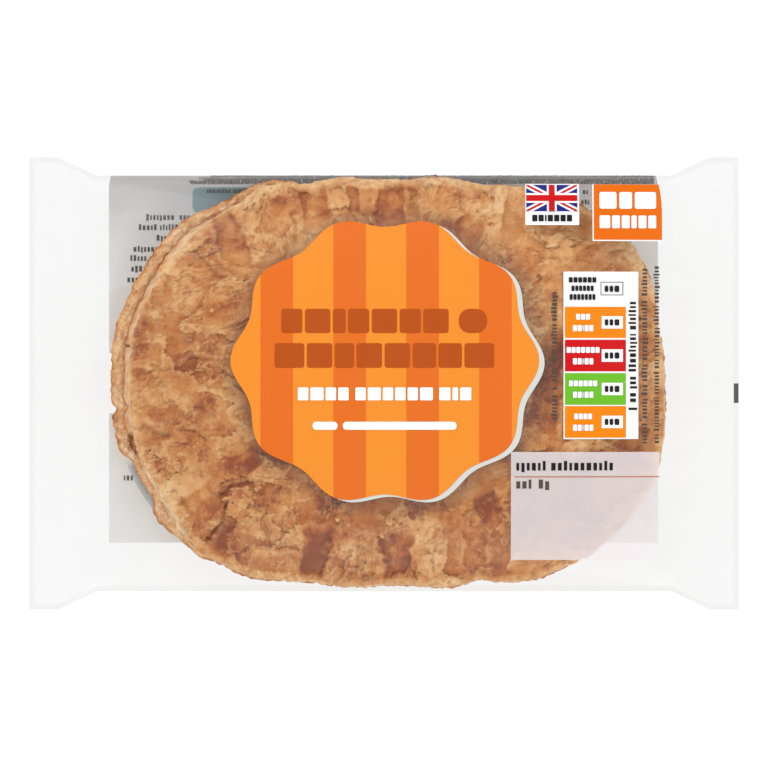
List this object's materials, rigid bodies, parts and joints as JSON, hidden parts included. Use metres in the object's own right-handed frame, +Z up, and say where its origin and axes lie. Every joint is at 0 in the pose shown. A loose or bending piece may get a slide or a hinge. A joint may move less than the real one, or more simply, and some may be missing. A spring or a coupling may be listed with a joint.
{
  "type": "puff pastry pie in a clear flow-wrap pack",
  "caption": "Oval puff pastry pie sealed in a clear printed film pack with flat end seals, lying on its back.",
  "frame": {"origin": "centre of the flat base that the pack rests on", "axes": "+X along the pack from the left end seal to the right one, +Y towards the top of the label, +Z up out of the label side"},
  "size_m": [0.16, 0.102, 0.028],
  "materials": {
    "film": "clear gloss film over golden brown pastry"
  },
  "bodies": {
    "root": {"flow_wrap_pack": "film"}
  },
  "joints": []
}
